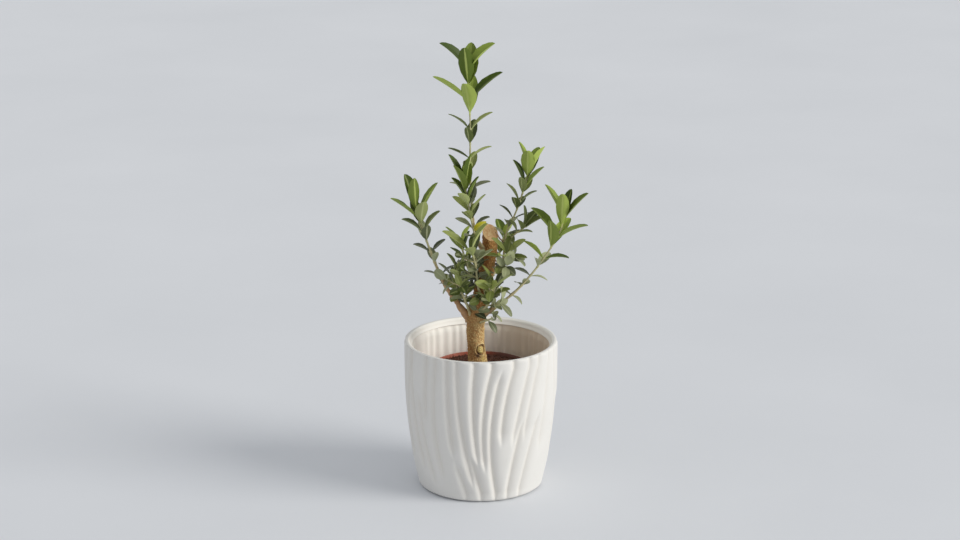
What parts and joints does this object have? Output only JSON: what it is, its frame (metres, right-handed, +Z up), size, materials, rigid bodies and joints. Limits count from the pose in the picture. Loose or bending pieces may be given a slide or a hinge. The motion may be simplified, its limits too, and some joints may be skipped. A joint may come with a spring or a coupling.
{
  "type": "potted olive tree",
  "caption": "Young pruned olive tree with a thick cut trunk and sparse leafy shoots, growing in a nursery pot inside a white fluted ceramic planter.",
  "frame": {"origin": "centre of the planter's flat underside", "axes": "+Z straight up the plant, -Y towards the side it is seen from, +X to that viewer's right"},
  "size_m": [0.1735, 0.1352, 0.3974],
  "materials": {
    "ceramic": "matte, flowing fluted relief",
    "terracotta_plastic": "matte",
    "compost": "rough, crumbly",
    "trunk_bark": "rough ochre bark",
    "limb_bark": "fine rough bark",
    "foliage": "satin leaves"
  },
  "bodies": {
    "root": {"back_left": "limb_bark", "back_left_leaves_1": "foliage", "back_left_leaves_2": "foliage", "back_low": "limb_bark", "back_low_leaves_1": "foliage", "back_low_leaves_2": "foliage", "back_right": "limb_bark", "back_right_leaves_1": "foliage", "back_right_leaves_2": "foliage", "centre_shoot": "limb_bark", "centre_shoot_leaves_1": "foliage", "centre_shoot_leaves_2": "foliage", "centre_shoot_leaves_3": "foliage", "front_shoot": "limb_bark", "front_shoot_leaves_1": "foliage", "front_shoot_leaves_2": "foliage", "knot_shoot": "limb_bark", "knot_shoot_leaves_1": "foliage", "leader": "limb_bark", "leader_leaves_1": "foliage", "leader_leaves_2": "foliage", "leader_leaves_3": "foliage", "leader_leaves_4": "foliage", "leader_leaves_5": "foliage", "left_bough": "limb_bark", "left_bough_leaves_1": "foliage", "left_bough_leaves_2": "foliage", "left_bough_leaves_3": "foliage", "left_bough_leaves_4": "foliage", "left_front": "limb_bark", "left_front_leaves_1": "foliage", "left_front_leaves_2": "foliage", "left_inner": "limb_bark", "left_inner_leaves_1": "foliage", "left_inner_leaves_2": "foliage", "low_front": "limb_bark", "low_front_leaves_1": "foliage", "low_front_leaves_2": "foliage", "low_right": "limb_bark", "low_right_leaves_1": "foliage", "nursery_pot": "terracotta_plastic", "planter": "ceramic", "right_bough": "limb_bark", "right_bough_leaves_1": "foliage", "right_bough_leaves_2": "foliage", "right_bough_leaves_3": "foliage", "right_bough_leaves_4": "foliage", "right_mid": "limb_bark", "right_mid_leaves_1": "foliage", "right_upper": "limb_bark", "right_upper_leaves_1": "foliage", "right_upper_leaves_2": "foliage", "right_upper_leaves_3": "foliage", "right_upper_leaves_4": "foliage", "soil": "compost", "trunk": "trunk_bark"}
  },
  "joints": []
}
